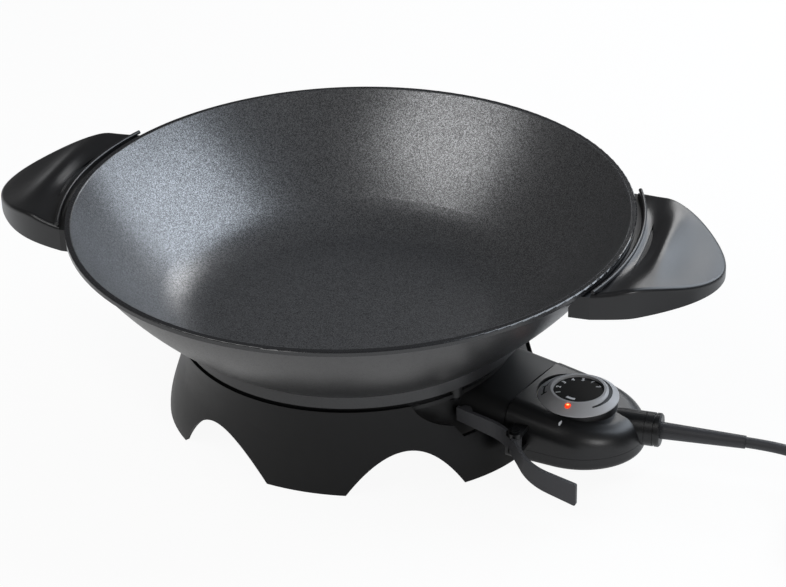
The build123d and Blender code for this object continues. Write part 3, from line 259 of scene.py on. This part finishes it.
class Finish:
    """A material with one shader on its surface."""

    def __init__(self, name):
        self.material = bpy.data.materials.new(name)
        self.material.use_nodes = True
        self.tree = self.material.node_tree
        self.tree.nodes.clear()
        self.output = self.tree.nodes.new("ShaderNodeOutputMaterial")

    def node(self, kind, settings=None, inputs=None, output=0):
        """One output of a new node, as a value."""
        made = self.tree.nodes.new(kind)
        for name, setting in (settings or {}).items():
            setattr(made, name, setting)
        for name, given in (inputs or {}).items():
            self.feed(made.inputs[name], given)
        return Value(self, made.outputs[output])

    def feed(self, socket, given):
        """A node's input gets a link from a value, or a plain constant."""
        if isinstance(given, Value):
            self.tree.links.new(given.socket, socket)
        elif isinstance(given, tuple) and len(given) == 3 and socket.type == "RGBA":
            socket.default_value = (*given, 1)
        else:
            socket.default_value = given

    def place(self):
        """The place on the object, which moves with its piece."""
        return self.node("ShaderNodeTexCoord", output="Object")

    def flat_place(self):
        """The place seen from above, at height 0."""
        flatten = {0: self.place(), 1: (1, 1, 0)}
        return self.node("ShaderNodeVectorMath", {"operation": "MULTIPLY"}, flatten)

    def grain(self, size, detail=2.0, roughness=0.5):
        """Noise whose lumps are about size across, in millimetres."""
        return self.node(
            "ShaderNodeTexNoise",
            None,
            {
                "Vector": self.place(),
                "Scale": 1 / (size * MM),
                "Detail": detail,
                "Roughness": roughness,
            },
        )

    def specks(self, size):
        """A plain random value in each small cell of about size, in millimetres."""
        cells = self.node(
            "ShaderNodeTexVoronoi",
            {"feature": "F1"},
            {"Vector": self.place(), "Scale": 1 / (size * MM)},
            output="Color",
        )
        return self.node("ShaderNodeSeparateColor", None, {"Color": cells})

    def mix(self, amount, first, second):
        """A colour from first, where amount is 0, to second, where it is 1."""
        # A Mix node's sockets 6 and 7, and its output 2, are its colours.
        return self.node("ShaderNodeMix", {"data_type": "RGBA"}, {0: amount, 6: first, 7: second}, 2)

    def bump(self, height, depth):
        """A surface raised by height, from 0 to 1, times depth in millimetres."""
        inputs = {"Height": height, "Distance": depth * MM, "Strength": 1.0}
        return self.node("ShaderNodeBump", None, inputs)

    def surface(self, **inputs):
        """The finished material, whose shader's inputs are named with _ for a space."""
        named = {name.replace("_", " "): given for name, given in inputs.items()}
        shader = self.node("ShaderNodeBsdfPrincipled", None, named)
        self.feed(self.output.inputs["Surface"], shader)
        return self.material


# ------------------------------------------------------------------ finishes
lip_inner = 181.2               # radii between which the bowl's sparkle ends, in millimetres
lip_outer = 181.8


def nonstick_coating():
    """A fired charcoal coating, full of fine bright flakes that show in the bowl, and a plain lip."""
    made = Finish("nonstick_coating")
    fine = made.specks(0.42)
    broad = made.grain(14, detail=4)
    normal = made.node("ShaderNodeNewGeometry", output="Normal")
    upwards = made.node("ShaderNodeSeparateXYZ", None, {0: normal}, "Z")
    length = {"operation": "LENGTH"}
    reach = made.node("ShaderNodeVectorMath", length, {0: made.flat_place()}, output=1)
    lip = (reach / MM).between(lip_inner, lip_outer)
    flake = fine.between(0.2, 1.0) * upwards.between(0.2, 0.4) * (1 - lip)
    pit = 1 - fine.between(0.05, 0.22)
    colour = made.mix(broad, (0.013, 0.0133, 0.0145), (0.018, 0.0183, 0.02))
    colour = made.mix(flake, colour, (0.23, 0.233, 0.24))
    lumps = made.grain(0.5, detail=3, roughness=0.6)
    return made.surface(
        Base_Color=made.mix(pit * 0.8, colour, (0.005, 0.005, 0.006)),
        Metallic=flake * 0.9,
        Roughness=0.28 + 0.07 * made.grain(4, detail=3) + 0.1 * pit - 0.12 * lip,
        Specular_IOR_Level=0.7,
        Normal=made.bump((lumps * 0.7 + fine * 0.3) * (1 - lip), 0.01),
    )


def moulded(name, colour, pale, roughness, shine):
    """A moulded resin: a matt skin with a very fine leathery grain and a few rubbed spots."""
    made = Finish(name)
    skin = made.grain(0.35, detail=2, roughness=0.55)
    flow = made.grain(22, detail=4, roughness=0.6)
    rubbed = made.grain(60, detail=5, roughness=0.7).between(0.52, 0.72)
    return made.surface(
        Base_Color=made.mix(flow, colour, pale),
        Roughness=roughness + 0.06 * flow - 0.05 * rubbed,
        Specular_IOR_Level=shine,
        Normal=made.bump(skin, 0.008),
    )


def metal(name, colour, dull, roughness):
    """Plain sheet or turned metal with light scuffs and a dull film."""
    made = Finish(name)
    film = made.grain(9, detail=5, roughness=0.65)
    scuff = made.grain(0.6, detail=3)
    return made.surface(
        Base_Color=made.mix(film.between(0.35, 0.75), colour, dull),
        Metallic=1.0,
        Roughness=roughness + 0.18 * film + 0.05 * scuff,
        Normal=made.bump(scuff, 0.004),
    )


def ceramic():
    """Fired, unglazed and slightly sandy."""
    made = Finish("ceramic")
    grain = made.grain(0.4, detail=3)
    return made.surface(
        Base_Color=made.mix(made.grain(8, detail=3), (0.72, 0.68, 0.6), (0.8, 0.77, 0.7)),
        Roughness=0.45 + 0.15 * grain,
        Normal=made.bump(grain, 0.01),
    )


def rubber():
    """Flexible PVC: an even black with a faint drawn grain."""
    made = Finish("cord_rubber")
    skin = made.grain(0.5, detail=3)
    dust = made.grain(18, detail=5, roughness=0.7)
    return made.surface(
        Base_Color=made.mix(dust, (0.024, 0.024, 0.027), (0.033, 0.033, 0.036)),
        Roughness=0.42 + 0.12 * dust,
        Specular_IOR_Level=0.5,
        Normal=made.bump(skin, 0.005),
    )


lens_middle = Vector((157.102, -47.982, 0)) * MM


def glowing_lens():
    """An orange lens, hottest at its middle, where the lamp below shows through it."""
    made = Finish("lens_orange")
    distance = {"operation": "DISTANCE"}
    ends = {0: made.flat_place(), 1: lens_middle}
    away = made.node("ShaderNodeVectorMath", distance, ends, output=1)
    ripple = made.grain(0.9, detail=2)
    core = 1 - (away / MM + 0.4 * ripple).between(0.3, 1.6)
    return made.surface(
        Base_Color=made.mix(core, (0.3, 0.012, 0.004), (0.9, 0.3, 0.05)),
        Roughness=0.18 + 0.1 * ripple,
        Emission_Color=made.mix(core, (0.52, 0.026, 0.003), (1.0, 0.66, 0.22)),
        Emission_Strength=1.9,
    )


def printing(name, colour, worn):
    """Pad-printed ink with a slightly broken, matt surface."""
    made = Finish(name)
    wear = made.grain(0.5, detail=3)
    return made.surface(
        Base_Color=made.mix(wear.between(0.5, 0.8), colour, worn),
        Roughness=0.5 + 0.2 * wear,
        Normal=made.bump(wear, 0.003),
    )


moulded_resins = {
    # name: colour, paler colour, roughness, shine
    "handle_phenolic": ((0.0050, 0.0050, 0.0056), (0.0085, 0.0085, 0.0095), 0.30, 0.5),
    "skirt_phenolic": ((0.0035, 0.0035, 0.0038), (0.006, 0.006, 0.0065), 0.36, 0.24),
    "guard_phenolic": ((0.0035, 0.0035, 0.0038), (0.006, 0.006, 0.0065), 0.45, 0.5),
    "housing_plastic": ((0.0045, 0.0045, 0.005), (0.0075, 0.0075, 0.008), 0.34, 0.5),
    "lever_plastic": ((0.042, 0.042, 0.045), (0.052, 0.052, 0.056), 0.5, 0.35),
    "knob_plastic": ((0.42, 0.42, 0.43), (0.5, 0.5, 0.51), 0.42, 0.5),
    "dial_plastic": ((0.004, 0.004, 0.004), (0.007, 0.007, 0.007), 0.26, 0.16),
    "lamp_glass": ((0.6, 0.25, 0.12), (0.7, 0.35, 0.2), 0.12, 0.6),
}
metals = {
    # name: colour, colour of the dull film, roughness
    "contact_brass": ((0.72, 0.5, 0.2), (0.5, 0.35, 0.15), 0.25),
    "steel": ((0.55, 0.55, 0.56), (0.38, 0.38, 0.39), 0.28),
    "blackened_steel": ((0.012, 0.012, 0.013), (0.02, 0.02, 0.021), 0.4),
    "aluminised_steel": ((0.62, 0.62, 0.63), (0.48, 0.48, 0.49), 0.38),
    "zinc_screws": ((0.6, 0.6, 0.58), (0.42, 0.42, 0.4), 0.3),
}
inks = {
    # name: colour, worn colour
    "print_white": ((0.8, 0.81, 0.83), (0.66, 0.67, 0.69)),
    # print_black also paints shade into the knob's sunk wedge.
    "print_black": ((0.006, 0.006, 0.006), (0.012, 0.012, 0.012)),
}
finishes = {
    "nonstick_coating": nonstick_coating(),
    "lens_orange": glowing_lens(),
    "ceramic": ceramic(),
    "cord_rubber": rubber(),
}
finishes.update((name, moulded(name, *made_of)) for name, made_of in moulded_resins.items())
finishes.update((name, metal(name, *made_of)) for name, made_of in metals.items())
finishes.update((name, printing(name, *made_of)) for name, made_of in inks.items())

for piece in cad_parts.values():
    for holder in piece.material_slots:
        holder.material = finishes[holder.material.name.split(".")[0]]
for name, finish in (
    ("lever_pin", "blackened_steel"),
    ("guard_screws", "blackened_steel"),
    ("cord_collar", "housing_plastic"),
):
    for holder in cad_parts[name].material_slots:
        holder.material = finishes[finish]


# ------------------------------------------------------------------ mains lead
lead_sides = 20


def lead_mesh():
    """The round lead, swept along its route with a flat end in the sleeve and in the plug."""
    tree = Shaping("lead_tube", {"radius": cord_radius})
    section = {"Resolution": lead_sides, "Radius": tree.size("radius")}
    ring = tree.node("GeometryNodeCurvePrimitiveCircle", {"mode": "RADIUS"}, section)
    swept = {"Curve": tree.entry.outputs[0], "Profile Curve": ring, "Fill Caps": True}
    tube = tree.node("GeometryNodeCurveToMesh", None, swept)
    smooth = tree.node("GeometryNodeSetShadeSmooth", None, {"Geometry": tube})
    return tree.mesh(route, smooth, finishes["cord_rubber"])


lead = new_piece("mains_lead", lead_mesh(), "control_plug")
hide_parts("mains_cord", "cord_coil", "cord_tail")

# ------------------------------------------------------------------ marks on the knob
knob_centre = Vector((159.539, cord_line, 47.796)) * MM
disc_top = 4.7 * MM
ring_crown = 18.0 * MM          # the ring slopes down from its crown to its edge
ring_edge = 26.2 * MM
ring_crown_height = 6.2 * MM
ring_edge_height = 1.1 * MM
print_thick = 0.04 * MM
number_count = 7
number_circle = 13.3 * MM
number_size = 4.2 * MM
number_boldness = 0.14 * MM
first_number_turn = 204.5
number_step = 28.6


def round_knob(radius, turn, height):
    """A place on the knob: its distance from the axis, its angle and its height above the seat."""
    angle = math.radians(turn)
    return knob_centre + Vector((radius * math.cos(angle), radius * math.sin(angle), height))


def finished_mesh(name, shape, finish):
    """The mesh of a finished bmesh, with one material."""
    mesh = bpy.data.meshes.new(name)
    shape.to_mesh(mesh)
    shape.free()
    mesh.materials.append(finish)
    return mesh


def raised_print(strips, name, finish, thick=print_thick):
    """Thin solid print: each strip is a row of pairs of points that lie on the surface below it."""
    shape = bmesh.new()
    lift = Vector((0, 0, thick))
    for strip in strips:
        below = [[shape.verts.new(point) for point in pair] for pair in strip]
        above = [[shape.verts.new(point + lift) for point in pair] for pair in strip]
        for sheet in (below, above):
            for first, second in zip(sheet, sheet[1:]):
                shape.faces.new((first[0], first[1], second[1], second[0]))
        for side in (0, 1):
            edge = [(low[side], high[side]) for low, high in zip(below, above)]
            for first, second in zip(edge, edge[1:]):
                shape.faces.new((first[0], second[0], second[1], first[1]))
        for end in (0, -1):
            shape.faces.new((*below[end], *reversed(above[end])))
    bmesh.ops.recalc_face_normals(shape, faces=shape.faces)
    return finished_mesh(name, shape, finish)


def numeral(figure, turn):
    """One printed number, upright when it is at the top of the dial."""
    text = bpy.data.curves.new("numeral", "FONT")
    text.body = figure
    text.size = number_size
    text.align_x = "CENTER"
    text.align_y = "CENTER"
    text.extrude = print_thick / 2
    text.offset = number_boldness
    holder = bpy.data.objects.new("numeral", text)
    scene.collection.objects.link(holder)
    mesh = plain_mesh(holder)
    bpy.data.objects.remove(holder)
    place = Matrix.Translation(round_knob(number_circle, turn, disc_top + print_thick / 2))
    mesh.transform(place @ Matrix.Rotation(math.radians(turn - 90), 4, "Z"))
    return mesh


def joined(name, meshes, finish):
    """One mesh of several, with their doubled corners merged."""
    shape = bmesh.new()
    for mesh in meshes:
        shape.from_mesh(mesh)
    for face in shape.faces:
        face.material_index = 0
    bmesh.ops.remove_doubles(shape, verts=shape.verts, dist=1e-7)
    return finished_mesh(name, shape, finish)


numerals = [
    numeral(str(count + 1), first_number_turn - count * number_step)
    for count in range(number_count)
]
numbers = joined("dial_numbers", numerals, finishes["print_white"])
new_piece("dial_numbers", numbers, "control_knob")


def arc_band(inner, outer, start, end, height_of, steps=16):
    """Strip between two circles of the knob, on the surface that height_of gives."""
    turns = [start + (end - start) * step / steps for step in range(steps + 1)]
    return [
        [round_knob(radius, turn, height_of(radius)) for radius in (inner, outer)]
        for turn in turns
    ]


def on_disc(radius):
    """Height of the flat disc, the same at every radius."""
    return disc_top


def on_slope(radius):
    """Height of the knob's sloping ring, from its crown down to its edge."""
    share = (radius - ring_crown) / (ring_edge - ring_crown)
    return ring_crown_height - share * (ring_crown_height - ring_edge_height)


bar_inner = 10.0 * MM
bar_outer = 12.0 * MM
bar_start = -121
bar_end = -89
bar_strip = arc_band(bar_inner, bar_outer, bar_start, bar_end, on_disc)
bar = raised_print([bar_strip], "dial_bar", finishes["print_white"])
new_piece("dial_bar", bar, "control_knob")

# The low mark is a line between two short bars, just past the wedge's narrower end.
low_line_inner = 21.7 * MM
low_line_outer = 22.9 * MM
low_bar_inner = 20.6 * MM
low_bar_outer = 24.2 * MM
low_start, low_line_start, low_line_end, low_end = 175.4, 178, 198, 201
low_mark = [
    arc_band(low_line_inner, low_line_outer, low_line_start, low_line_end, on_slope),
    arc_band(low_bar_inner, low_bar_outer, low_start, low_line_start, on_slope, 2),
    arc_band(low_bar_inner, low_bar_outer, low_line_end, low_end, on_slope, 2),
]

wedge_outer = 21.8
wedge_inner = [20.6, 20.0, 19.5, 19.3, 19.4, 19.7, 20.1, 20.5, 20.9]    # end to end
wedge_start = -53
wedge_end = 175
wedge_sunk = 0.5 * MM


def wedge_strip(steps=48):
    """The floor of the sunk wedge on the ring, printed black: painted shade that stands for the shade
    inside a deep slot.
    """
    pairs = []
    last = len(wedge_inner) - 1
    for step in range(steps + 1):
        place, share = divmod(step / steps * last, 1)
        before = wedge_inner[int(place)]
        after = wedge_inner[min(int(place) + 1, last)]
        turn = wedge_start + (wedge_end - wedge_start) * step / steps
        edges = ((before + (after - before) * share) * MM, wedge_outer * MM)
        pairs.append([round_knob(radius, turn, on_slope(radius) - wedge_sunk) for radius in edges])
    return pairs


# The wedge's black print is painted shade, the dark of a deep slot painted into a shallow one.
wedge = raised_print([wedge_strip()], "painted_shade_wedge", finishes["print_black"])
new_piece("painted_shade_wedge", wedge, "control_knob")
lowest = raised_print(low_mark, "low_mark", finishes["print_black"])
new_piece("low_mark", lowest, "control_knob")

# ------------------------------------------------------------------ pointer on the housing
pointer_from = Vector((154.3, -60.4, 0)) * MM
pointer_to = Vector((155.4, -56.8, 0)) * MM
pointer_half = 0.95 * MM
pointer_thick = 0.12 * MM
above_shell = 0.1               # a height, in metres, well above the housing


def pointer_strip(steps=12):
    """A drop-shaped mark on the housing's dome, broad at its outer end and pointing at the knob."""
    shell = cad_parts["upper_shell"]
    along = pointer_to - pointer_from
    sideways = Vector((-along.y, along.x, 0)).normalized()
    pairs = []
    for step in range(steps + 1):
        share = 0.02 + 0.96 * step / steps
        half = pointer_half * 2 * math.sqrt(share * (1 - share)) * (1 - 0.5 * share)
        pair = []
        for side in (-half, half):
            spot = pointer_from + along * share + sideways * side
            start = Vector((spot.x, spot.y, above_shell))
            _, place, _, _ = shell.ray_cast(start, Vector((0, 0, -1)))
            pair.append(place)
        pairs.append(pair)
    return pairs


pointer = raised_print([pointer_strip()], "pointer", finishes["print_white"], pointer_thick)
new_piece("pointer", pointer, "control_plug")

# ------------------------------------------------------------------ room
floor_reach = 6.0
floor_level = -0.2 * MM
floor_glow = 0.93               # share of plain white where the floor is seen directly
gloss_share = 0.4               # how much of that glow a glossy surface mirrors


def floor():
    """A plain pale floor, nearly white where it is seen, which still takes the shadow."""
    made = Finish("floor")
    seen = made.node("ShaderNodeLightPath", output="Is Camera Ray")
    seen = seen + made.node("ShaderNodeLightPath", output="Is Transmission Ray")
    gloss = made.node("ShaderNodeLightPath", output="Is Glossy Ray")
    seen = (seen + gloss_share * gloss).held()
    lit = made.node("ShaderNodeBsdfDiffuse", None, {"Color": (0.9, 0.9, 0.9)})
    plain = made.node("ShaderNodeEmission", None, {"Color": (1.0, 1.0, 1.0), "Strength": 1.0})
    both = made.node("ShaderNodeMixShader", None, {0: seen * floor_glow, 1: lit, 2: plain})
    made.feed(made.output.inputs["Surface"], both)
    mesh = bpy.data.meshes.new("floor")
    signs = ((-1, -1), (1, -1), (1, 1), (-1, 1))
    corners = [(x * floor_reach, y * floor_reach, floor_level) for x, y in signs]
    mesh.from_pydata(corners, [], [(0, 1, 2, 3)])
    mesh.materials.append(made.material)
    ground = bpy.data.objects.new("floor", mesh)
    scene.collection.objects.link(ground)


lamp_distance = 1.5
lamp_aim = Vector((0, 0, 0.1))


def soft_lamp(name, azimuth, elevation, width, height, power, roll=0, colour=(1, 1, 1)):
    """A soft box that faces the middle of the object, turned by roll in its own plane."""
    lamp = bpy.data.lights.new(name, "AREA")
    lamp.shape = "RECTANGLE"
    lamp.size = width
    lamp.size_y = height
    lamp.energy = power
    lamp.color = colour
    around = math.radians(azimuth)
    above = math.radians(elevation)
    level = math.cos(above)
    back = Vector((math.cos(around) * level, math.sin(around) * level, math.sin(above)))
    placed = bpy.data.objects.new(name, lamp)
    placed.location = back * lamp_distance + lamp_aim
    turned = back.to_track_quat("Z", "Y") @ Quaternion((0, 0, 1), math.radians(roll))
    placed.rotation_euler = turned.to_euler()
    placed.visible_camera = False
    scene.collection.objects.link(placed)


floor()
soft_lamp("back_right_box", 41, 37, 1.5, 0.85, 19, roll=-33, colour=(0.82, 0.9, 1.0))
soft_lamp("front_left_box", -131, 50, 1.15, 0.9, 12)
soft_lamp("back_left_box", 81, 29, 0.34, 0.34, 2.6)
soft_lamp("low_front_box", -42, 17, 0.35, 0.25, 4.5)
world = bpy.data.worlds.new("room")
world.use_nodes = True
sky = world.node_tree.nodes["Background"]
sky.inputs["Color"].default_value = (1, 1, 1, 1)
sky.inputs["Strength"].default_value = 0.1
scene.world = world
